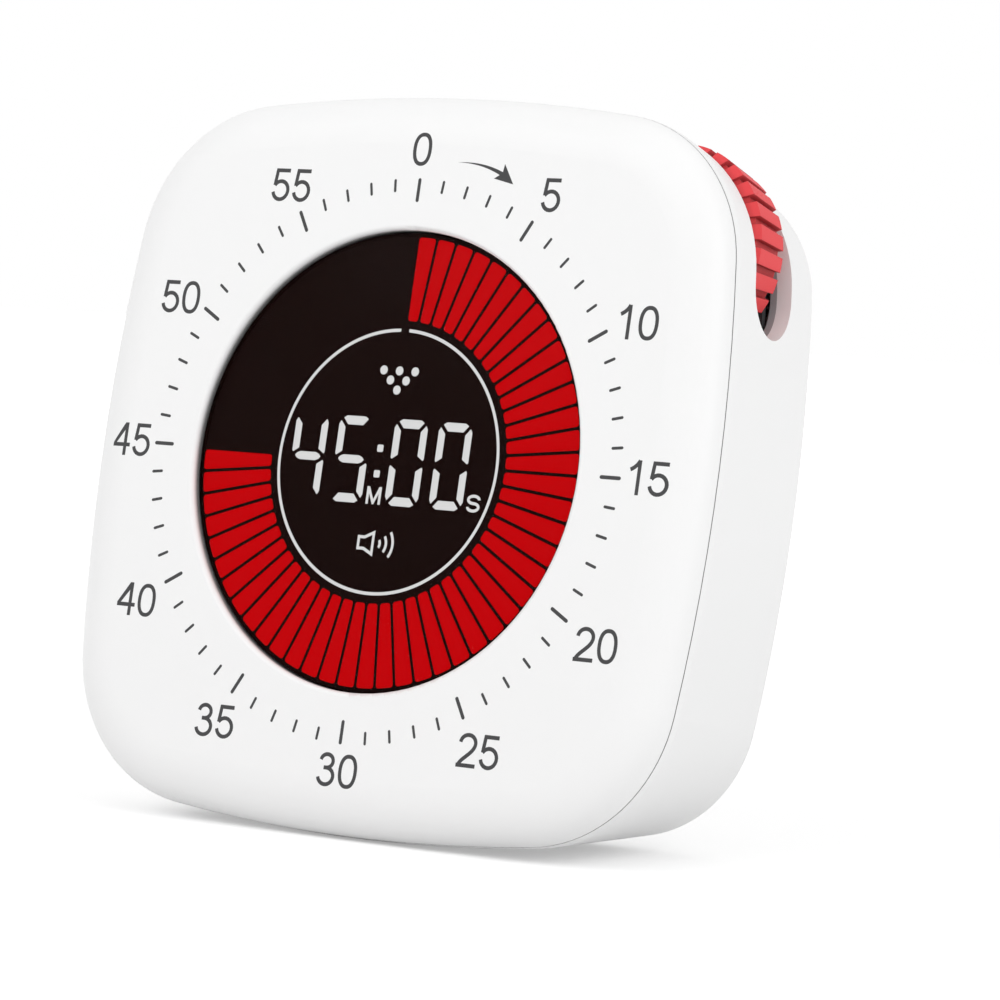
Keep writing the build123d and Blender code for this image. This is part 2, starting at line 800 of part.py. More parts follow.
def slot_bezel():
    """The grey liner behind the wall round the wheel's slot."""
    front, rear = slot_front - bezel_border, slot_front + slot_width + bezel_border
    near, far = rear_side_wall, rear_side_wall + bezel_wall
    liner = swept_wall(
        chain(
            (skin(front) + near, front),
            (skin(rear) + near, rear),
            (skin(rear) + far, rear),
            (skin(front) + far, front),
            (skin(front) + near, front),
        )
    )
    return (liner & slot_tool(bezel_border)) - slot_tool(0)


def kept_side(reach):
    """The sector of the guard's wall that is kept, on the side away from the slot."""
    angles = [math.radians(225 + step * guard_kept_angle) for step in (-1, -0.5, 0, 0.5, 1)]
    rays = [(reach * math.cos(angle), reach * math.sin(angle)) for angle in angles]
    return make_face(Polyline((0, 0), *rays, close=True).edges())


def wheel_guard():
    """A tray round the inner side of the wheel. It keeps dust and fingers off the boards."""
    inner = wheel_radius + guard_gap
    outer = inner + guard_wall
    wall = tube(0, 0, outer, inner, guard_front, guard_plate_rear)
    wall = wall & plate(kept_side(2 * outer), guard_front - overrun, guard_plate_rear + overrun)
    tray = wall + rod(0, 0, outer, guard_plate_front, guard_plate_rear)
    hole_radius = wheel_bush_radius + boss_wall + fit_gap
    tray -= rod(0, 0, hole_radius, guard_plate_front - overrun, guard_plate_rear + overrun)
    room_inset = rear_side_wall + bezel_wall + clearance
    room = case_inside(room_inset, guard_front - overrun, guard_plate_rear + overrun)
    return on_wheel(tray) & room


# ---------------------------------------------------------------- display
def display_lens():
    return rod(0, 0, display_radius, display_drop - lens_bond - lens_thickness, display_drop - lens_bond)


def lens_adhesive():
    """A ring of black adhesive film that holds the lens just clear of the segments."""
    inner = segment_outer + lens_bond
    return tube(0, 0, display_radius, inner, display_drop - lens_bond, display_drop)


def on_ring(radius, count, turn=0):
    """Places spread evenly round the dial's centre, clockwise from the top."""
    angles = [math.radians(90 - (index + turn) * 360 / count) for index in range(count)]
    return [(radius * math.cos(angle), radius * math.sin(angle)) for angle in angles]


ring_wells = on_ring((ring_outer + ring_inner) / 2, ring_well_count, turn=0.5)


def display_housing():
    """The black grid that keeps the light of each segment, bar and icon apart."""
    body = rod(0, 0, display_radius, display_drop, face_wall)
    body += rod(0, 0, flange_radius, face_wall, board_front)
    through = segment_cells(0, segment_count) + bars(True) + bars(False) + colon() + dots()
    shallow = [ring_shape()] + letters() + speaker_icon()
    groove_floor = display_drop + diffuser_thickness
    cuts = [plate(shape, display_drop, board_front) for shape in through]
    cuts += [plate(shape, display_drop, groove_floor) for shape in shallow]
    cuts += [rod(x, y, well_radius, groove_floor, board_front) for x, y in well_places]
    cuts += [rod(x, y, ring_well_radius, groove_floor, board_front) for x, y in ring_wells]
    return body - cuts


def diffusers(shapes):
    """Plane shapes as separate translucent plugs, flush with the display's surface."""
    return [plate(shape, display_drop, display_drop + diffuser_thickness) for shape in shapes]


def display_board():
    """The round main board, with a lobe that carries the wheel's encoder."""
    lobe_reach = wheel_axis * math.sqrt(2)
    lobe = Pos(wheel_axis, wheel_axis) * Circle(board_lobe_radius)
    neck = Rot(Z=45) * Pos(X=lobe_reach / 2) * Rectangle(lobe_reach, 2 * board_lobe_radius)
    shape = Circle(board_radius) + lobe + neck
    for x, y in case_bosses:
        shape -= Pos(x, y) * Circle(front_boss_radius + clearance)
    for x, y in board_screw_places:
        shape -= Pos(x, y) * Circle(board_screw_radius + screw_gap)
    return plate(shape, board_front, board_rear)


def led(x, y, width, height, turn=0):
    chip = Rectangle(width, height)
    return plate(Pos(x, y) * Rot(Z=turn) * chip, board_front - led_height, board_front)


def segment_leds():
    places = on_ring((segment_inner + segment_outer) / 2, segment_count, turn=0.5)
    step = 360 / segment_count
    return [led(x, y, led_short, led_long, turn=-(index + 0.5) * step) for index, (x, y) in enumerate(places)]


def digit_leds():
    lights = []
    for shape in bars(True) + bars(False) + colon():
        middle = shape.center()
        lights.append(led(middle.X, middle.Y, led_tiny, led_tiny))
    return lights


def icon_leds():
    lights = [led(x, y, led_short, led_short) for x, y in well_places]
    return lights + [led(x, y, led_tiny, led_tiny) for x, y in dot_places + ring_wells]


def board_chips():
    """Controller, light driver and sound chip on the rear of the display board."""
    return [
        block(x, y, width, height, board_rear, board_rear + thickness)
        for x, y, width, height, thickness in chip_table
    ]


def wire_connectors():
    """Upright sockets for the battery's and the speaker's leads."""
    battery = block(battery_lead_x, battery_socket_y, socket_width, socket_depth, board_rear, socket_rear)
    speaker = block(speaker_lead_x, speaker_y, socket_depth, socket_width, board_rear, socket_rear)
    return [battery, speaker]


# ---------------------------------------------------------------- encoder and wheel
def encoder_case():
    body = on_wheel(block(0, 0, encoder_size, encoder_size, board_rear, encoder_rear))
    cavity = on_wheel(rod(0, 0, encoder_cavity_radius, cavity_front, cavity_rear))
    bore = on_wheel(rod(0, 0, shaft_radius + fit_gap, cavity_rear - overrun, encoder_rear + overrun))
    return body - cavity - bore


def encoder_bush():
    return on_wheel(tube(0, 0, encoder_bush_radius, shaft_radius + fit_gap, encoder_rear, bush_rear))


def flatted(radius, front, rear):
    """A shaft or bore with a flat along one side."""
    flat_middle = radius + shaft_radius - shaft_flat
    flat = block(0, flat_middle, 4 * radius, 2 * radius, front - overrun, rear + overrun)
    return rod(0, 0, radius, front, rear) - flat


def encoder_shaft():
    """The encoder's rotor and its shaft, with a flat where the wheel is pushed on."""
    rotor = rod(0, 0, rotor_radius, rotor_front, rotor_front + rotor_thickness)
    journal = rod(0, 0, shaft_radius, rotor_front, hub_front)
    return on_wheel(rotor + journal + flatted(shaft_radius, hub_front, shaft_end))


def thumb_wheel():
    """A cupped wheel with a stepped, tapered rim, pushed on the encoder's shaft."""
    rear_radius = wheel_radius - (wheel_rear - wheel_crest) * slope
    rim_inner = wheel_radius - tooth_depth - rim_wall
    web_front = wheel_rear - web_thickness
    body = turned(
        (0, hub_front),
        (hub_radius, hub_front),
        (hub_radius, web_front),
        (rim_inner, web_front),
        (rim_inner, wheel_front),
        (wheel_radius - wheel_chamfer_rise, wheel_front),
        (wheel_radius, wheel_crest),
        (rear_radius, wheel_rear),
        (stub_radius, wheel_rear),
        (stub_radius, wheel_rear + stub_length),
        (0, wheel_rear + stub_length),
    )
    pitch = 360 / wheel_teeth
    groove_angle = pitch * (1 - tooth_share)
    floor_front = wheel_radius - wheel_chamfer_rise - tooth_depth
    reach = wheel_radius + overrun
    groove_section = section(
        Polyline(
            (floor_front, -(wheel_front - overrun)),
            (floor_front, -wheel_front),
            (wheel_radius - tooth_depth, -wheel_crest),
            (rear_radius - tooth_depth - overrun * slope, -(wheel_rear + overrun)),
            (reach, -(wheel_rear + overrun)),
            (reach, -(wheel_front - overrun)),
            close=True,
        )
    )
    groove = revolve(groove_section, Axis.Z, revolution_arc=groove_angle)
    grooves = [Rot(Z=tooth_phase - groove_angle + index * pitch) * groove for index in range(wheel_teeth)]
    bore = flatted(shaft_radius + screw_gap, hub_front - overrun, shaft_end)
    return on_wheel(body - grooves - bore)


def wheel_bush():
    bush_end = bush_front + wheel_bush_length
    return on_wheel(tube(0, 0, wheel_bush_radius, stub_radius + fit_gap, bush_front, bush_end))


# ---------------------------------------------------------------- battery, speaker and magnets
def battery_cell():
    shape = Pos(0, battery_level) * RectangleRounded(battery_width, battery_height, battery_corner)
    cell = plate(shape, battery_rear - battery_thickness, battery_rear)
    return fillet(cell.edges().group_by(Axis.Z)[-1] + cell.edges().group_by(Axis.Z)[0], battery_corner / 2)


def adhesive_pad():
    width, height = battery_width - pad_margin, battery_height - pad_margin
    return block(0, battery_level, width, height, battery_rear, inside_depth)


def lead(points, bend):
    """One insulated wire along straight runs joined by an arc."""
    path = FilletPolyline(*points, radius=bend)
    start = Plane(origin=path @ 0, z_dir=path % 0)
    return sweep(start * Circle(lead_radius), path=path)


def lead_pair(centre):
    return [centre - lead_pitch / 2, centre + lead_pitch / 2]


def battery_leads():
    """Two wires from the cell's upper edge to the socket on the display board."""
    top = battery_level + battery_height / 2
    level = battery_rear - battery_thickness / 2
    rise = battery_socket_y - top

    def wire(x):
        corner = (x, battery_socket_y, -level)
        return lead([(x, top, -level), corner, (x, battery_socket_y, -socket_rear)], lead_bend * rise)

    return [wire(x) for x in lead_pair(battery_lead_x)]


def speaker_leads():
    """Two wires from the speaker's terminal to the socket on the display board."""
    start = speaker_x + speaker_radius + terminal_reach
    run = speaker_lead_x - start

    def wire(y):
        corner = (speaker_lead_x, y, -terminal_depth)
        return lead([(start, y, -terminal_depth), corner, (speaker_lead_x, y, -socket_rear)], lead_bend * run)

    return [wire(y) for y in lead_pair(speaker_y)]


def at_speaker(shape):
    return Pos(speaker_x, speaker_y) * shape


def speaker_frame():
    """The speaker's steel frame, with a terminal tab at its right."""
    throat = speaker_radius - speaker_rim
    rim_front = speaker_front - speaker_sheet
    back = speaker_front - speaker_cup
    base = speaker_magnet_radius + speaker_rim
    frame = turned(
        (speaker_radius, speaker_front),
        (speaker_radius, rim_front),
        (throat + speaker_sheet, rim_front),
        (base, back - speaker_sheet),
        (speaker_vent, back - speaker_sheet),
        (speaker_vent, back),
        (base - speaker_sheet / 2, back),
        (throat, rim_front),
        (throat, speaker_front),
    )
    tab_start, tab_end = speaker_radius - speaker_rim / 2, speaker_radius + terminal_reach
    tab = block((tab_start + tab_end) / 2, 0, tab_end - tab_start, terminal_width,
                terminal_depth - speaker_sheet, rim_front + speaker_sheet / 2)
    return at_speaker(frame + tab)


def speaker_cone():
    """Paper cone, dust cap and coil former."""
    rim = speaker_radius - speaker_rim - clearance / 2
    level = speaker_front - clearance
    neck = speaker_front - speaker_cup + 2 * speaker_sheet
    cone = turned(
        (rim, level),
        (coil_radius, neck + paper),
        (0, neck - paper),
        (0, neck - 2 * paper),
        (coil_radius - paper, neck - paper),
        (coil_radius - paper, neck - speaker_sheet),
        (coil_radius, neck - speaker_sheet),
        (coil_radius + paper, neck),
        (rim, level - paper),
    )
    return at_speaker(cone)


def speaker_magnet():
    back = speaker_front - speaker_cup - speaker_sheet
    return at_speaker(rod(0, 0, speaker_magnet_radius, back - speaker_magnet_height, back))


def gasket():
    hole_radius = speaker_radius - speaker_rim
    return tube(speaker_x, speaker_y, speaker_radius, hole_radius, speaker_front, inside_depth)


def wall_magnets():
    return [
        rod(side * magnet_x, magnet_level, magnet_radius, inside_depth - magnet_thickness, inside_depth)
        for side in (-1, 1)
    ]


# ---------------------------------------------------------------- input board and controls
def io_board():
    shape = Pos(0, io_level) * Rectangle(io_board_width, io_board_height)
    for side in (-1, 1):
        shape -= Pos(side * io_post_x, io_level) * Circle(io_screw_radius + screw_gap)
    return plate(shape, io_board_depth, io_rear)


def charge_chips():
    """The charging chip and its coil, on the front of the input board."""
    charger_front, coil_front = io_board_depth - charger_height, io_board_depth - coil_height
    charger = block(charger_x, io_level, charger_size, charger_size, charger_front, io_board_depth)
    coil = block(-charger_x, io_level, charger_size, charger_size, coil_front, io_board_depth)
    return [charger, fillet(coil.edges().filter_by(Axis.Z), charger_size / 4)]


def usb_ring(inset):
    height = usb_height - 2 * inset
    return Pos(0, io_level) * RectangleRounded(usb_width - 2 * inset, height, height / 2 - usb_end_flat)


def usb_shell():
    return plate(usb_ring(0) - usb_ring(usb_wall), io_rear, usb_mouth)


def usb_tongue_block():
    """The receptacle's insulator: a base inside the shell and the contact tongue."""
    base = plate(usb_ring(usb_wall + screw_gap), io_rear, io_rear + usb_base)
    tongue = block(0, io_level, usb_tongue_width, usb_tongue, io_rear + usb_base, usb_mouth - usb_base / 2)
    return base + tongue


def switch_body():
    body = block(switch_x, io_level, switch_width, switch_height, io_rear, switch_rear)
    slot_length = knob_stem + 2 * switch_travel + clearance
    slot_height = knob_stem + clearance
    floor = io_rear + switch_floor
    return body - block(switch_x, io_level, slot_length, slot_height, floor, switch_rear + overrun)


def switch_knob():
    """The sliding knob: a cap in the rear wall's slot, and a stem down into the switch."""
    cap_front = control_top - knob_cap
    stem_front = io_rear + switch_floor + clearance
    cap = block(switch_x, io_level, knob_width, knob_height, cap_front, control_top)
    grip = [
        block(switch_x + index * knob_rib_pitch, io_level, knob_rib_pitch / 2, knob_height + overrun,
              control_top - knob_rib_height, control_top + overrun)
        for index in (-1, 0, 1)
    ]
    return cap - grip + block(switch_x, io_level, knob_stem, knob_stem, stem_front, cap_front)


def tact_switch_body():
    body = block(button_x, io_level, tact_size, tact_size, io_rear, tact_rear)
    bore_radius = plunger_radius + fit_gap
    return body - rod(button_x, io_level, bore_radius, io_rear + switch_floor, tact_rear + overrun)


def tact_plunger():
    return rod(button_x, io_level, plunger_radius, plunger_front, plunger_front + plunger_length)


def rear_button():
    """The push button: a domed cap, a flange that stops it behind the wall, and a stem on the plunger."""
    flange_rear = inside_depth - button_rest_gap
    flange_front = flange_rear - button_flange_thickness
    cap = rod(button_x, io_level, button_radius, flange_front, control_top)
    cap = fillet(cap.edges().group_by(Axis.Z)[0], button_edge)
    flange = rod(button_x, io_level, button_radius + button_flange, flange_front, flange_rear)
    stem_radius = plunger_radius + button_flange / 2
    stem = rod(button_x, io_level, stem_radius, plunger_front + plunger_length, flange_front)
    return cap + flange + stem


def pin_places():
    return [(link_pitch * (index - (link_pins - 1) / 2), io_level) for index in range(link_pins)]


def link_block(front, rear):
    """A connector block with a square hole for each pin."""
    body = block(0, io_level, link_pins * link_pitch + header_margin, header_width, front, rear)
    hole = link_pin + 2 * screw_gap
    return body - [block(x, y, hole, hole, front, min(rear, pin_end + clearance)) for x, y in pin_places()]


def link_pin_row():
    return [block(x, y, link_pin, link_pin, board_rear, pin_end) for x, y in pin_places()]


# ---------------------------------------------------------------- fasteners
def case_screws():
    head = (case_screw_head_radius, case_screw_head)
    shank = (case_screw_radius, case_screw_length)
    return [screw(x, y, head, shank, case_screw_seat) for x, y in case_bosses]


def board_screws():
    head = (board_screw_head_radius, board_screw_head)
    shank = (board_screw_radius, board_screw_length)
    return [screw(x, y, head, shank, board_rear) for x, y in board_screw_places]


def io_board_screws():
    head = (io_screw_head_radius, io_screw_head)
    shank = (io_screw_radius, io_screw_length)
    return [
        screw(side * io_post_x, io_level, head, shank, io_board_depth, towards_front=False)
        for side in (-1, 1)
    ]


# ---------------------------------------------------------------- all nodes, stood on the foot pad
nodes = {
    "front_shell": front_shell(),
    "rear_housing": rear_housing(),
    "display_lens": display_lens(),
    "lens_adhesive": lens_adhesive(),
    "display_housing": display_housing(),
    "lit_segments": diffusers(segment_cells(0, lit_segments)),
    "idle_segments": diffusers(segment_cells(lit_segments, segment_count)),
    "lit_digit_bars": diffusers(bars(True) + colon()),
    "idle_digit_bars": diffusers(bars(False)),
    "light_ring": diffusers([ring_shape()]),
    "icon_diffusers": diffusers(dots() + letters() + speaker_icon()),
    "display_board": display_board(),
    "segment_leds": segment_leds(),
    "digit_leds": digit_leds(),
    "icon_leds": icon_leds(),
    "board_chips": board_chips(),
    "wire_connectors": wire_connectors(),
    "board_screws": board_screws(),
    "encoder_case": encoder_case(),
    "encoder_bush": encoder_bush(),
    "encoder_shaft": encoder_shaft(),
    "thumb_wheel": thumb_wheel(),
    "wheel_bush": wheel_bush(),
    "slot_bezel": slot_bezel(),
    "wheel_guard": wheel_guard(),
    "battery_cell": battery_cell(),
    "battery_pad": adhesive_pad(),
    "battery_leads": battery_leads(),
    "speaker_frame": speaker_frame(),
    "speaker_cone": speaker_cone(),
    "speaker_magnet": speaker_magnet(),
    "speaker_gasket": gasket(),
    "speaker_leads": speaker_leads(),
    "wall_magnets": wall_magnets(),
    "input_board": io_board(),
    "charge_chips": charge_chips(),
    "usb_shell": usb_shell(),
    "usb_tongue": usb_tongue_block(),
    "switch_body": switch_body(),
    "switch_knob": switch_knob(),
    "tact_switch_body": tact_switch_body(),
    "tact_plunger": tact_plunger(),
    "rear_button": rear_button(),
    "link_header": link_block(board_rear, board_rear + header_height),
    "link_socket": link_block(board_rear + header_height, io_board_depth),
    "link_pins": link_pin_row(),
    "case_screws": case_screws(),
    "input_board_screws": io_board_screws(),
    "foot_pad": foot_shape(0, foot_proud),
}

floor_drop = half * math.cos(lean) + widest_depth * math.sin(lean) + foot_proud
rearward = widest_depth * math.cos(lean) - half * math.sin(lean) + foot_middle
stand = Location((0, -rearward, floor_drop), (90 - draft, 0, 0))

os.makedirs("parts", exist_ok=True)
for name, shapes in nodes.items():
    if not isinstance(shapes, list):
        shapes = [shapes]
    placed = [stand * solid for shape in shapes for solid in shape.solids()]
    model = placed[0] if len(placed) == 1 else Compound(children=placed)
    model.label = name
    export_step(model, os.path.join("parts", name + ".step"))
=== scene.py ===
import json
import math

import bmesh
import bpy
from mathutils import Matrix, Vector
from mathutils.bvhtree import BVHTree
from mathutils.geometry import delaunay_2d_cdt


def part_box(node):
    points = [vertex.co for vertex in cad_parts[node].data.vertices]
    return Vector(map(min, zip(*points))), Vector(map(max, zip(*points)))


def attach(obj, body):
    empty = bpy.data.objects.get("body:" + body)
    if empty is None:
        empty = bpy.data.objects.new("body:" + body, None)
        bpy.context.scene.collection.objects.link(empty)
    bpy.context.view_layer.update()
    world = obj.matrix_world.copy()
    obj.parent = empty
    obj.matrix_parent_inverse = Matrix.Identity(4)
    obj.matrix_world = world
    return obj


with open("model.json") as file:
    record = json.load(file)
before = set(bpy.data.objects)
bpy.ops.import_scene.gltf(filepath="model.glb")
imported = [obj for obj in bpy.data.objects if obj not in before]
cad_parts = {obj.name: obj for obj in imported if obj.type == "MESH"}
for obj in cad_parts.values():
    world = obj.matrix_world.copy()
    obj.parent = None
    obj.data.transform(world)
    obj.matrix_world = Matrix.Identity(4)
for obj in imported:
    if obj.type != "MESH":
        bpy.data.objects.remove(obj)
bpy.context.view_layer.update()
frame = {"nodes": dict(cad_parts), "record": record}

# The looks of a visual countdown timer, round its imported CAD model. Lengths are in millimetres and
# become metres through MM when a piece is made. Only the floor and the lamps are given in metres.
MM = 0.001

# ---------------------------------------------------------------- the dial's plane
# The face leans back. Places on it are (x to the right, y up the face), measured from the dial's centre,
# and that centre is found from the display's cover, whose middle lies a known depth behind the face.
LEAN = math.radians(9)
COVER_DEPTH = 1.0
LOOK_FROM = 1.0              # height above the face from which the shell's surface is looked for
RIGHT = Vector((1, 0, 0))
UP = Vector((0, math.sin(LEAN), math.cos(LEAN)))
OUT = Vector((0, -math.cos(LEAN), math.sin(LEAN)))

cover_low, cover_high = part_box("display_lens")
DIAL = (cover_low + cover_high) / 2 + OUT * COVER_DEPTH * MM


def on_face(x, y, height=0.0):
    """A place on the face, or above it by a height, in the row frame."""
    return DIAL + (RIGHT * x + UP * y + OUT * height) * MM


def face_box(node):
    """Lowest and highest (x, y, height) of a CAD node, measured in the dial's own directions."""
    places = [(vertex.co - DIAL) / MM for vertex in frame["nodes"][node].data.vertices]
    spans = [[place.dot(axis) for place in places] for axis in (RIGHT, UP, OUT)]
    return Vector(map(min, spans)), Vector(map(max, spans))


shell_mesh = frame["nodes"]["front_shell"].data
shell_surface = BVHTree.FromPolygons(
    [vertex.co for vertex in shell_mesh.vertices], [polygon.vertices for polygon in shell_mesh.polygons]
)


def on_shell(place):
    """The place on the front shell's surface straight under a place on the dial's plane."""
    return shell_surface.ray_cast(place + OUT * LOOK_FROM * MM, -OUT)[0] or place


# ---------------------------------------------------------------- new objects
def linked(name, data):
    """A new object in the scene that holds a mesh, a lamp or a camera."""
    item = bpy.data.objects.new(name, data)
    bpy.context.scene.collection.objects.link(item)
    return item


def solid(name, shape, look):
    """A new mesh object made from a finished bmesh, with its material."""
    bmesh.ops.recalc_face_normals(shape, faces=shape.faces)
    mesh = bpy.data.meshes.new(name)
    shape.to_mesh(mesh)
    shape.free()
    mesh.materials.append(look)
    return linked(name, mesh)


# ---------------------------------------------------------------- sizes of the print
INK = 0.012                  # thickness of the print
INK_STEP = 0.5               # longest edge in it, so that it follows the face's rounded border
INK_SPLITS = 5               # how often longer edges are halved
INK_MERGE = 1e-5             # points of the print closer than this are one
INSIDE_ONLY = 1              # the kind of triangulation that leaves out what lies round the outlines
TICK_COUNT = 60
TICKS_PER_NUMBER = 5
TICK_RADIUS = 33.42          # middle of a short tick
TICK_LENGTH = 1.62
TICK_WIDTH = 0.34
LONG_TICK_RADIUS = 32.8
LONG_TICK_LENGTH = 2.92
LONG_TICK_WIDTH = 0.44
ROUND_STEPS = 6              # points round each tick's end
DIGIT_HEIGHT = 4.07
DIGIT_WIDTH = 2.7
DIGIT_PITCH = 3.15           # from one digit to the next
STROKE = 0.47
SHARPEST_BEND = 0.5          # the lowest cosine a corner is mitred by, which keeps its mitre short
TAPER_START = 0.04           # stands for step 0 of a tapered stroke, so that its tip has some width
ZERO_FULLNESS = 0.86         # 1 would make the nought an ellipse, less makes it squarer
NUMBER_PLACES = {            # middle of each number
    "0": (-0.25, 37.8),
    "5": (19.2, 32.8),
    "10": (33.8, 18.3),
    "15": (38.02, 0.28),
    "20": (34.0, -19.5),
    "25": (19.8, -33.2),
    "30": (0.1, -37.38),
    "35": (-19.0, -33.2),
    "40": (-33.6, -19.5),
    "45": (-38.0, 0.2),
    "50": (-33.5, 18.3),
    "55": (-19.02, 32.8),
}
ARROW_CURVE = ((5.3, 36.35), (8.8, 36.45), (11.75, 35.12))
ARROW_WIDTH = 0.5            # of the shaft where it meets the head
ARROW_HEAD = ((12.0, 36.34), (13.55, 33.93), (10.71, 34.55), (11.5, 35.02), (11.87, 35.4))


# ---------------------------------------------------------------- flat shapes for the print
def arc(x, y, radius_x, radius_y, start, end, steps=20):
    """Points along part of an ellipse. Angles are in degrees, anticlockwise from the right."""
    angles = [math.radians(start + (end - start) * step / steps) for step in range(steps + 1)]
    return [(x + radius_x * math.cos(angle), y + radius_y * math.sin(angle)) for angle in angles]


def bezier(points, steps=12):
    """Points along a Bezier curve of any degree."""
    curve = []
    for step in range(steps + 1):
        level = [Vector(point) for point in points]
        while len(level) > 1:
            level = [a.lerp(b, step / steps) for a, b in zip(level, level[1:])]
        curve.append(tuple(level[0]))
    return curve


def stroke(path, width=STROKE, closed=False, taper=False):
    """Four-sided pieces that follow a path at a constant width, or widen from nothing with taper."""
    points = [Vector(point) for point in path]
    count = len(points)
    sides = []
    for index, point in enumerate(points):
        before = points[index - 1] if index or closed else point
        after = points[(index + 1) % count] if index < count - 1 or closed else point
        along_in = (point - before).normalized()
        along_out = (after - point).normalized()
        along = (along_in + along_out).normalized()
        across = Vector((-along.y, along.x))
        bend = max(SHARPEST_BEND, along.dot(along_out) if along_out.length else 1.0)
        reach = width / 2 / bend * (max(index, TAPER_START) / (count - 1) if taper else 1)
        sides.append((point + across * reach, point - across * reach))
    pairs = list(zip(sides, sides[1:]))
    if closed:
        pairs.append((sides[-1], sides[0]))
    return [[a[0], b[0], b[1], a[1]] for a, b in pairs]


def rounded_bar(middle, along, length, width):
    """One flat bar with round ends, as a polygon."""
    across = Vector((-along.y, along.x))
    radius = width / 2
    ring = []
    for end in (1, -1):
        for step in range(ROUND_STEPS + 1):
            angle = math.pi * (step / ROUND_STEPS - 0.5)
            offset = along * math.cos(angle) + across * math.sin(angle)
            ring.append(middle + end * (along * (length / 2 - radius) + offset * radius))
    return ring


def squarer(share):
    """A share of an oval's reach, moved outwards by its fullness."""
    return math.copysign(abs(share) ** ZERO_FULLNESS, share)


def digit(character):
    """A plain upright digit as overlapping flat pieces. Places are measured from its own middle."""
    top = DIGIT_HEIGHT / 2
    side = DIGIT_WIDTH / 2
    level = top - STROKE / 2             # middle of a stroke along the top or the bottom
    reach = side - STROKE / 2            # middle of a stroke along the left or the right
    if character == "0":
        circle = arc(0, 0, 1, 1, 0, 360, 48)[:-1]
        ring = [(reach * squarer(x), level * squarer(y)) for x, y in circle]
        return stroke(ring, closed=True)
    if character == "1":
        stem = 0.4
        flag = bezier([(stem - 1.22, top - 1.13), (stem - 0.35, top - 0.75), (stem - 0.02, top - 0.02)])
        return stroke([(stem, -top), (stem, top)]) + stroke(flag)
    if character == "2":
        bowl = arc(0.02, 0.84, reach - 0.05, level - 0.84, 176, -18)
        slope = bezier([bowl[-1], (0.78, -0.35), (-0.75, -1.0), (-1.02, -1.72)])
        return stroke(bowl + slope[1:]) + stroke([(-side, -level), (side, -level)])
    if character == "3":
        waist = 0.2
        upper = arc(-0.03, (level + waist) / 2, reach - 0.22, (level - waist) / 2, 172, -90)
        lower = arc(0, (waist - level) / 2, reach - 0.02, (waist + level) / 2, 90, -170)
        return stroke(upper) + stroke([(-0.4, waist), (0.1, waist)]) + stroke(lower)
    if character == "4":
        stem = 0.62
        bar = -0.71
        start = -side - 0.02
        corner = bar + STROKE / 2
        slope = [(start, corner - 0.12), (start, corner), (0.34, top), (stem + STROKE / 2, top)]
        slope += [(stem, top - 0.62), (-0.83, corner)]
        return (
            stroke([(stem, -top), (stem, top)])
            + stroke([(start, bar), (side + 0.03, bar)])
            + [[Vector(point) for point in slope]]
        )
    bowl = arc(0.0, -0.67, reach, level - 0.67, 147, -169)
    stem = [bowl[0], (-0.72, level + 0.1)]
    return stroke(bowl) + stroke(stem) + stroke([(-0.94, level), (1.16, level)])


def anticlockwise(polygon):
    """A polygon's points in anticlockwise order."""
    area = sum(a.cross(b) for a, b in zip(polygon, polygon[1:] + polygon[:1]))
    return polygon if area > 0 else polygon[::-1]


def bounds_2d(polygons):
    """Left, right, bottom and top of some polygons."""
    xs = [point.x for polygon in polygons for point in polygon]
    ys = [point.y for polygon in polygons for point in polygon]
    return min(xs), max(xs), min(ys), max(ys)


def number(text, place):
    """The polygons of a number, with the middle of its outline at a place."""
    polygons = [
        [point + Vector((index * DIGIT_PITCH, 0)) for point in polygon]
        for index, character in enumerate(text)
        for polygon in digit(character)
    ]
    left, right, bottom, top = bounds_2d(polygons)
    shift = Vector(place) - Vector(((left + right) / 2, (bottom + top) / 2))
    return [[point + shift for point in polygon] for polygon in polygons]


def printed(name, polygons, look):
    """A thin printed layer on the shell: the union of flat polygons, with its own thickness."""
    polygons = [anticlockwise(polygon) for polygon in polygons]
    points = [point for polygon in polygons for point in polygon]
    faces = []
    for polygon in polygons:
        first = sum(len(face) for face in faces)
        faces.append(list(range(first, first + len(polygon))))
    flat, _, triangles, _, _, sources = delaunay_2d_cdt(points, [], faces, INSIDE_ONLY, INK_MERGE)
    shape = bmesh.new()
    corners = [shape.verts.new(on_face(point.x, point.y)) for point in flat]
    for triangle, source in zip(triangles, sources):
        if source:
            shape.faces.new([corners[index] for index in triangle])
    loose = [corner for corner in shape.verts if not corner.link_faces]
    bmesh.ops.delete(shape, geom=loose, context="VERTS")
    for _ in range(INK_SPLITS):
        long_edges = [edge for edge in shape.edges if edge.calc_length() > INK_STEP * MM]
        bmesh.ops.subdivide_edges(shape, edges=long_edges, cuts=1)
        bmesh.ops.triangulate(shape, faces=shape.faces[:])
    for corner in shape.verts:
        corner.co = on_shell(corner.co)
    bmesh.ops.recalc_face_normals(shape, faces=shape.faces)
    layer = bmesh.ops.extrude_face_region(shape, geom=shape.faces[:])
    raised = [part for part in layer["geom"] if isinstance(part, bmesh.types.BMVert)]
    bmesh.ops.translate(shape, verts=raised, vec=OUT * INK * MM)
    return solid(name, shape, look)


# ---------------------------------------------------------------- materials
CLOUD_SIZE = 9.0             # of the faint cloudiness in a moulded surface
NOISE_LOW, NOISE_HIGH = 0.3, 0.7   # noise stays mostly between these
BEVEL_SAMPLES = 6
# rays for the painted shade in grooves and joints
PAINTED_SHADE_SAMPLES = 8


def new_look(name):
    """An empty procedural material: its node tree, its shader and its object coordinates."""
    look = bpy.data.materials.new(name)
    look.use_nodes = True
    tree = look.node_tree
    shader = tree.nodes["Principled BSDF"]
    place = tree.nodes.new("ShaderNodeTexCoord").outputs["Object"]
    return look, tree, shader, place


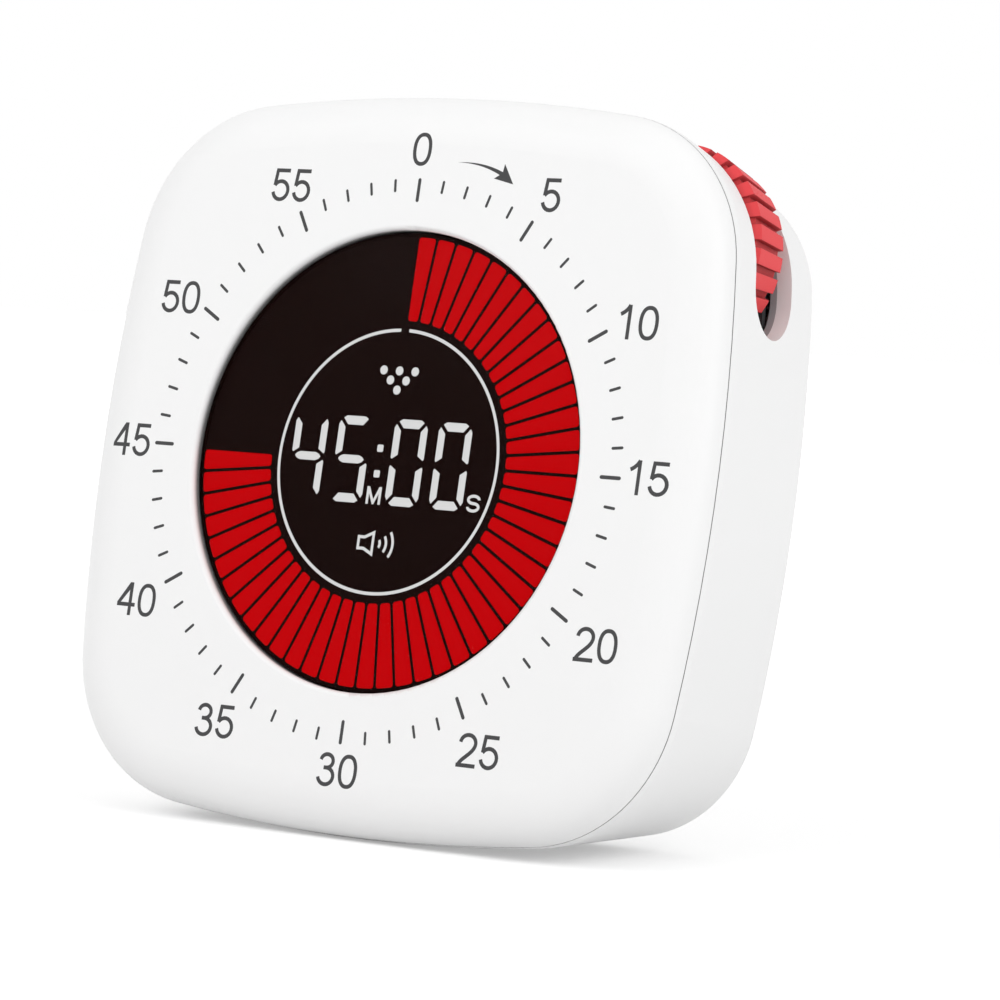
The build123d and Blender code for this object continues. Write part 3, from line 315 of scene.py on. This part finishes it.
def noise(tree, place, size, detail=2.0, stretch=None):
    """Noise with features of about a size in millimetres, stretched along an axis if asked."""
    if stretch:
        mapping = tree.nodes.new("ShaderNodeMapping")
        mapping.inputs["Scale"].default_value = stretch
        tree.links.new(place, mapping.inputs["Vector"])
        place = mapping.outputs["Vector"]
    node = tree.nodes.new("ShaderNodeTexNoise")
    node.inputs["Scale"].default_value = 1 / (size * MM)
    node.inputs["Detail"].default_value = detail
    tree.links.new(place, node.inputs["Vector"])
    return node.outputs["Fac"]


def spread(tree, factor, low, high):
    """A number that varies with a factor between two values."""
    node = tree.nodes.new("ShaderNodeMapRange")
    node.inputs["From Min"].default_value = NOISE_LOW
    node.inputs["From Max"].default_value = NOISE_HIGH
    node.inputs["To Min"].default_value = low
    node.inputs["To Max"].default_value = high
    tree.links.new(factor, node.inputs["Value"])
    return node.outputs["Result"]


def blended(tree, factor, first, second):
    """A colour that varies with a factor between two colours."""
    node = tree.nodes.new("ShaderNodeMix")
    node.data_type = "RGBA"
    tree.links.new(factor, node.inputs["Factor"])
    node.inputs["A"].default_value = (*first, 1)
    node.inputs["B"].default_value = (*second, 1)
    return node.outputs["Result"]


def tone(color, share):
    """A colour brightened or darkened by a share."""
    return tuple(min(1.0, channel * share) for channel in color)


def bump(tree, shader, height, depth, strength=1.0, rounded=None):
    """Surface relief of a depth in millimetres, and softened edges of a radius if asked."""
    node = tree.nodes.new("ShaderNodeBump")
    node.inputs["Strength"].default_value = strength
    node.inputs["Distance"].default_value = depth * MM
    tree.links.new(height, node.inputs["Height"])
    if rounded:
        edge = tree.nodes.new("ShaderNodeBevel")
        edge.samples = BEVEL_SAMPLES
        edge.inputs["Radius"].default_value = rounded * MM
        tree.links.new(edge.outputs["Normal"], node.inputs["Normal"])
    tree.links.new(node.outputs["Normal"], shader.inputs["Normal"])


def darkened_by_painted_shade(tree, shade, reach, low):
    """Painted shade: a colour that falls to a share of itself deep in grooves and joints narrower than a
    reach, where little light gets in.
    """
    painted_crevice_shade = tree.nodes.new("ShaderNodeAmbientOcclusion")
    painted_crevice_shade.samples = PAINTED_SHADE_SAMPLES
    painted_crevice_shade.inputs["Distance"].default_value = reach * MM
    depth = tree.nodes.new("ShaderNodeMapRange")
    depth.inputs["To Min"].default_value = low
    tree.links.new(painted_crevice_shade.outputs["AO"], depth.inputs["Value"])
    node = tree.nodes.new("ShaderNodeMix")
    node.data_type = "RGBA"
    node.blend_type = "MULTIPLY"
    node.inputs["Factor"].default_value = 1.0
    tree.links.new(shade, node.inputs["A"])
    tree.links.new(depth.outputs["Result"], node.inputs["B"])
    return node.outputs["Result"]


def moulded(
    name, color, roughness, grain=0.3, relief=0.002, variety=0.02,
    rounded=None, specular=0.5, painted_crevice_shade=None,
):
    """Moulded plastic, rubber or ink: an even colour with a faint cloudiness, and a fine grain, with
    painted shade in grooves and joints if asked.
    """
    look, tree, shader, place = new_look(name)
    cloud = noise(tree, place, CLOUD_SIZE)
    fine = noise(tree, place, grain, detail=3.0)
    shade = blended(tree, cloud, tone(color, 1 - variety), tone(color, 1 + variety))
    # painted shade: the colour is darkened where ambient occlusion finds a groove or a joint
    if painted_crevice_shade:
        shade = darkened_by_painted_shade(tree, shade, *painted_crevice_shade)
    tree.links.new(shade, shader.inputs["Base Color"])
    tree.links.new(spread(tree, fine, roughness - 0.04, roughness + 0.04), shader.inputs["Roughness"])
    shader.inputs["Specular IOR Level"].default_value = specular
    bump(tree, shader, fine, relief, rounded=rounded)
    return look


def lit(name, color, glow, strength, roughness=0.45):
    """A translucent light guide with its lamp on: the glow is a little uneven, as through a diffuser."""
    look, tree, shader, place = new_look(name)
    cloud = noise(tree, place, 1.4)
    fine = noise(tree, place, 0.12, detail=3.0)
    shade = blended(tree, fine, tone(color, 0.95), tone(color, 1.05))
    tree.links.new(shade, shader.inputs["Base Color"])
    uneven = blended(tree, cloud, tone(glow, 0.985), tone(glow, 1.015))
    tree.links.new(uneven, shader.inputs["Emission Color"])
    shader.inputs["Emission Strength"].default_value = strength
    shader.inputs["Specular IOR Level"].default_value = 0.02
    tree.links.new(spread(tree, fine, roughness - 0.05, roughness + 0.05), shader.inputs["Roughness"])
    bump(tree, shader, fine, 0.001)
    return look


def metal(name, color, roughness, stretch=(1, 1, 1), grain=0.05, relief=0.001):
    """Plated, drawn or turned metal, with its marks drawn out along one axis."""
    look, tree, shader, place = new_look(name)
    marks = noise(tree, place, grain, detail=4.0, stretch=stretch)
    cloud = noise(tree, place, 4.0)
    shade = blended(tree, cloud, tone(color, 0.93), tone(color, 1.05))
    tree.links.new(shade, shader.inputs["Base Color"])
    tree.links.new(spread(tree, marks, roughness - 0.08, roughness + 0.08), shader.inputs["Roughness"])
    shader.inputs["Metallic"].default_value = 1.0
    bump(tree, shader, marks, relief)
    return look


def clear_cover():
    """The display's cover: a dark, thin clear sheet with a faint haze of fine scratches."""
    look, tree, shader, place = new_look("clear_cover")
    haze = noise(tree, place, 6.0, detail=4.0)
    fine = noise(tree, place, 0.4, detail=2.0)
    shade = blended(tree, haze, (0.004, 0.003, 0.003), (0.006, 0.005, 0.005))
    tree.links.new(shade, shader.inputs["Base Color"])
    tree.links.new(spread(tree, haze, 0.05, 0.12), shader.inputs["Roughness"])
    shader.inputs["Alpha"].default_value = 0.06
    shader.inputs["Specular IOR Level"].default_value = 0.08
    bump(tree, shader, fine, 0.0005)
    return look


def circuit_board():
    """Green solder mask over copper tracks."""
    look, tree, shader, place = new_look("circuit_board")
    tracks = tree.nodes.new("ShaderNodeTexBrick")
    tracks.inputs["Scale"].default_value = 1 / (2.2 * MM)
    tracks.inputs["Mortar Size"].default_value = 0.06
    tracks.inputs["Color1"].default_value = (0.012, 0.13, 0.055, 1)
    tracks.inputs["Color2"].default_value = (0.016, 0.16, 0.07, 1)
    tracks.inputs["Mortar"].default_value = (0.035, 0.28, 0.12, 1)
    tree.links.new(place, tracks.inputs["Vector"])
    fine = noise(tree, place, 0.25)
    tree.links.new(tracks.outputs["Color"], shader.inputs["Base Color"])
    tree.links.new(spread(tree, fine, 0.28, 0.4), shader.inputs["Roughness"])
    bump(tree, shader, tracks.outputs["Fac"], 0.02)
    return look


def woven(name, color, pitch, roughness=0.9):
    """Paper, foam or woven mesh: a fine cellular surface."""
    look, tree, shader, place = new_look(name)
    cells = tree.nodes.new("ShaderNodeTexVoronoi")
    cells.inputs["Scale"].default_value = 1 / (pitch * MM)
    tree.links.new(place, cells.inputs["Vector"])
    shade = blended(tree, cells.outputs["Distance"], tone(color, 1.25), tone(color, 0.6))
    tree.links.new(shade, shader.inputs["Base Color"])
    fine = noise(tree, place, pitch / 2)
    tree.links.new(spread(tree, fine, roughness - 0.06, roughness + 0.06), shader.inputs["Roughness"])
    bump(tree, shader, cells.outputs["Distance"], pitch / 6)
    return look


def foil():
    """The battery pouch's crinkled aluminium foil."""
    look, tree, shader, place = new_look("foil")
    creases = noise(tree, place, 3.0, detail=5.0)
    shade = blended(tree, creases, (0.58, 0.59, 0.62), (0.72, 0.73, 0.75))
    tree.links.new(shade, shader.inputs["Base Color"])
    tree.links.new(spread(tree, creases, 0.28, 0.45), shader.inputs["Roughness"])
    shader.inputs["Metallic"].default_value = 0.85
    bump(tree, shader, creases, 0.15)
    return look


DARK_RED = (0.0083, 0.0024, 0.0018)   # of the display where it isn't lit

looks = {
    # the shell's colour carries painted shade in its seam and grooves, within half a millimetre
    "shell": moulded(
        "shell_white", (0.9, 0.9, 0.9), 0.42, grain=0.22, relief=0.0012, variety=0.004,
        specular=0.35, painted_crevice_shade=(0.5, 0.1),
    ),
    "lens": clear_cover(),
    "display_black": moulded("display_black", DARK_RED, 0.5, grain=0.15, variety=0.1, specular=0.02),
    "segment_red": lit("segment_red", (0.06, 0.0, 0.0), (1.0, 0.0, 0.003), 0.53),
    "segment_idle": moulded("segment_idle", DARK_RED, 0.45, grain=0.12, variety=0.1, specular=0.02),
    "light_white": lit("light_white", (0.12, 0.12, 0.12), (1.0, 1.01, 1.0), 0.68),
    "circuit_board": circuit_board(),
    "chip_black": moulded(
        "chip_black", (0.025, 0.025, 0.027), 0.55, grain=0.1, relief=0.006, variety=0.1
    ),
    "led_body": moulded("led_body", (0.85, 0.8, 0.6), 0.3, grain=0.2, variety=0.05, rounded=0.08),
    "connector": moulded("connector", (0.8, 0.77, 0.7), 0.45, grain=0.15, variety=0.03, rounded=0.12),
    # the wheel's red carries painted shade in its tooth grooves, within 1.6 mm
    "wheel_red": moulded(
        "wheel_red", (0.8, 0.072, 0.08), 0.5, grain=0.18, rounded=0.22,
        specular=0.12, painted_crevice_shade=(1.6, 0.25),
    ),
    "liner_grey": moulded("liner_grey", (0.36, 0.36, 0.37), 0.6, grain=0.15, relief=0.003),
    "guard_dark": moulded("guard_dark", (0.035, 0.036, 0.038), 0.6, grain=0.15, relief=0.003),
    "steel": metal("plated_steel", (0.66, 0.66, 0.68), 0.3, stretch=(1, 1, 6)),
    "brass": metal("turned_brass", (0.78, 0.58, 0.26), 0.3, stretch=(1, 6, 1)),
    "acetal": moulded("acetal", (0.8, 0.8, 0.77), 0.35, grain=0.2),
    "cell": foil(),
    "foam": woven("foam", (0.06, 0.06, 0.06), 0.35),
    "wire": moulded("wire", (0.55, 0.04, 0.035), 0.4),
    "paper": woven("paper_cone", (0.05, 0.05, 0.05), 0.5),
    "magnet": metal("nickel", (0.6, 0.6, 0.6), 0.2, stretch=(3, 1, 1)),
    "control_black": moulded("control_black", (0.05, 0.05, 0.052), 0.5, grain=0.18, rounded=0.15),
    "control_grey": moulded(
        "control_grey", (0.62, 0.63, 0.64), 0.45, grain=0.18, variety=0.01, rounded=0.2
    ),
    "foot_rubber": moulded("foot_rubber", (0.24, 0.24, 0.25), 0.8, relief=0.01, variety=0.05),
}
for entry in frame["record"]["subparts"]:
    for material_slot in frame["nodes"][entry["node"]].material_slots:
        material_slot.material = looks[entry["material_slot"]]


# ---------------------------------------------------------------- the printed dial
def tick_marks():
    """Sixty marks round the window, every fifth one longer."""
    bars = []
    for index in range(TICK_COUNT):
        angle = math.tau * index / TICK_COUNT
        along = Vector((math.sin(angle), math.cos(angle)))
        if index % TICKS_PER_NUMBER:
            bars.append(rounded_bar(along * TICK_RADIUS, along, TICK_LENGTH, TICK_WIDTH))
        else:
            bars.append(rounded_bar(along * LONG_TICK_RADIUS, along, LONG_TICK_LENGTH, LONG_TICK_WIDTH))
    return bars


def curved_arrow():
    """The shaft, which widens towards the head, and the head."""
    shaft = stroke(bezier(ARROW_CURVE, 24), ARROW_WIDTH, taper=True)
    return shaft + [[Vector(point) for point in ARROW_HEAD]]


dial_numbers = [polygon for text, place in NUMBER_PLACES.items() for polygon in number(text, place)]
ink = moulded(
    "ink", (0.062, 0.062, 0.064), 0.5, grain=0.09, relief=0.001, variety=0.08, specular=0.15
)
prints = {"dial_ticks": tick_marks(), "dial_numbers": dial_numbers, "dial_arrow": curved_arrow()}
for name, polygons in prints.items():
    piece = printed(name, polygons, ink)
    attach(piece, "case")


# ---------------------------------------------------------------- small pieces behind the openings
MESH_THICKNESS = 0.12
MESH_REACH = 0.15            # beyond the speaker cone's edge
MESH_REST = 0.05             # from the rear wall
TONGUE_THICKNESS = 0.7       # of the USB socket's tongue
CONTACT_COUNT = 12           # on each side of the tongue
CONTACT_PITCH = 0.5
CONTACT_WIDTH = 0.27
CONTACT_THICKNESS = 0.03
CONTACT_START = 0.5          # from the tongue's tip
CONTACT_LENGTH = 4.4


def prisms(name, outlines, base, rise, look):
    """One piece made of flat prisms: outlines (x, y) in the dial's directions, raised from a height."""
    shape = bmesh.new()
    for outline in outlines:
        lower = [shape.verts.new(on_face(x, y, base)) for x, y in outline]
        upper = [shape.verts.new(on_face(x, y, base + rise)) for x, y in outline]
        shape.faces.new(upper)
        shape.faces.new(reversed(lower))
        for index, corner in enumerate(lower):
            after = (index + 1) % len(outline)
            shape.faces.new((corner, lower[after], upper[after], upper[index]))
    piece = solid(name, shape, look)
    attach(piece, "case")


def dust_mesh():
    """A woven mesh stretched inside the speaker's gasket, seen through the grille."""
    low, high = face_box("speaker_cone")
    middle = (low + high) / 2
    radius = (high.x - low.x) / 2 + MESH_REACH
    outline = arc(middle.x, middle.y, radius, radius, 0, 360, 64)[:-1]
    base = face_box("speaker_gasket")[0].z + MESH_REST
    cloth = woven("dust_mesh", (0.035, 0.035, 0.037), 0.3)
    prisms("dust_mesh", [outline], base, MESH_THICKNESS, cloth)


def usb_contacts():
    """A row of gilt contacts on each side of the USB tongue."""
    low, high = face_box("usb_tongue")
    middle = (low.y + high.y) / 2
    outlines = []
    for side in (-1, 1):
        near = middle + side * TONGUE_THICKNESS / 2
        far = near + side * CONTACT_THICKNESS
        for index in range(CONTACT_COUNT):
            x = (index - (CONTACT_COUNT - 1) / 2) * CONTACT_PITCH
            left, right = x - CONTACT_WIDTH / 2, x + CONTACT_WIDTH / 2
            outlines.append([(left, near), (right, near), (right, far), (left, far)])
    gilt = metal("gilt", (0.95, 0.72, 0.32), 0.25)
    prisms("usb_contacts", outlines, low.z + CONTACT_START, CONTACT_LENGTH, gilt)


dust_mesh()
usb_contacts()

# ---------------------------------------------------------------- floor, world, lamps and camera
FLOOR_SIZE = 8.0
FLOOR_COLOR = (0.8, 0.8, 0.8)
FLOOR_LIFT = 0.36            # brings the lit floor up to white where the camera or a reflection sees it
FAR_LIFT = 1.0               # the same far from the timer, where the lamps don't reach
LIFT_START, LIFT_END = 0.25, 0.8   # distances over which the first turns into the second
WORLD_LIGHT = 0.655          # the white world's strength where it isn't seen directly
LAMPS = (                    # name, place, size and power; each lamp faces the timer
    ("key", (-0.55, -0.95, 0.75), 0.9, 4.5),
    ("fill", (1.05, -0.35, 0.5), 0.9, 4.6),
    ("top", (0.05, 0.25, 1.1), 0.8, 0.6),
)
LAMP_AIM = -15               # height on the face's axis that the lamps point at, well inside the case
CAMERA_PLACE = (340.53, -486.56, 68.14)
CAMERA_TURN = (87.368, -2.872, 34.415)   # in degrees
CAMERA_LENS = 176.06
SENSOR_WIDTH = 36.0


def seen_directly(tree):
    """1 for rays from the camera, mirrored rays and rays through glass, otherwise 0."""
    path = tree.nodes.new("ShaderNodeLightPath")
    total = path.outputs["Is Camera Ray"]
    for kind in ("Is Glossy Ray", "Is Transmission Ray"):
        node = tree.nodes.new("ShaderNodeMath")
        node.operation = "MAXIMUM"
        tree.links.new(total, node.inputs[0])
        tree.links.new(path.outputs[kind], node.inputs[1])
        total = node.outputs[0]
    return total


def scaled(tree, value, low, high, start=0.0, end=1.0):
    """A value from start to end turned into a number from low to high."""
    node = tree.nodes.new("ShaderNodeMapRange")
    node.inputs["From Min"].default_value = start
    node.inputs["From Max"].default_value = end
    node.inputs["To Min"].default_value = low
    node.inputs["To Max"].default_value = high
    tree.links.new(value, node.inputs["Value"])
    return node.outputs["Result"]


def make_floor():
    """White paper under the timer, which shows the shadow near it and plain white farther off."""
    half = FLOOR_SIZE / 2
    corners = [(-half, -half, 0), (half, -half, 0), (half, half, 0), (-half, half, 0)]
    mesh = bpy.data.meshes.new("floor")
    mesh.from_pydata(corners, [], [(0, 1, 2, 3)])
    floor = linked("floor", mesh)
    look = bpy.data.materials.new("floor_paper")
    look.use_nodes = True
    tree = look.node_tree
    tree.nodes.clear()
    paper = tree.nodes.new("ShaderNodeBsdfDiffuse")
    paper.inputs["Color"].default_value = (*FLOOR_COLOR, 1)
    glow = tree.nodes.new("ShaderNodeEmission")
    place = tree.nodes.new("ShaderNodeTexCoord").outputs["Object"]
    distance = tree.nodes.new("ShaderNodeVectorMath")
    distance.operation = "LENGTH"
    tree.links.new(place, distance.inputs[0])
    lift = scaled(tree, distance.outputs["Value"], FLOOR_LIFT, FAR_LIFT, LIFT_START, LIFT_END)
    shown = tree.nodes.new("ShaderNodeMath")
    shown.operation = "MULTIPLY"
    tree.links.new(seen_directly(tree), shown.inputs[0])
    tree.links.new(lift, shown.inputs[1])
    tree.links.new(shown.outputs[0], glow.inputs["Strength"])
    both = tree.nodes.new("ShaderNodeAddShader")
    tree.links.new(paper.outputs[0], both.inputs[0])
    tree.links.new(glow.outputs[0], both.inputs[1])
    output = tree.nodes.new("ShaderNodeOutputMaterial")
    tree.links.new(both.outputs[0], output.inputs["Surface"])
    mesh.materials.append(look)


def make_world():
    """White all round: full where it is seen directly, and weaker as a light."""
    world = bpy.data.worlds.new("studio")
    world.use_nodes = True
    tree = world.node_tree
    background = tree.nodes["Background"]
    tree.links.new(scaled(tree, seen_directly(tree), WORLD_LIGHT, 1.0), background.inputs["Strength"])
    background.inputs["Color"].default_value = (1, 1, 1, 1)
    bpy.context.scene.world = world


def make_lamps():
    """Round soft lamps that face the timer."""
    aim = on_face(0, 0, LAMP_AIM)
    for name, place, size, power in LAMPS:
        light = bpy.data.lights.new(name, "AREA")
        light.shape = "DISK"
        light.size = size
        light.energy = power
        lamp = linked(name, light)
        lamp.location = place
        lamp.rotation_euler = (aim - Vector(place)).to_track_quat("-Z", "Y").to_euler()


def make_camera():
    """The camera that took the photograph, fitted to the places of the dial's marks in it."""
    data = bpy.data.cameras.new("camera")
    data.sensor_width = SENSOR_WIDTH
    data.lens = CAMERA_LENS
    camera = linked("camera", data)
    camera.location = Vector(CAMERA_PLACE) * MM
    camera.rotation_euler = [math.radians(angle) for angle in CAMERA_TURN]
    bpy.context.scene.camera = camera


make_floor()
make_world()
make_lamps()
make_camera()
bpy.context.scene.view_settings.view_transform = "Standard"
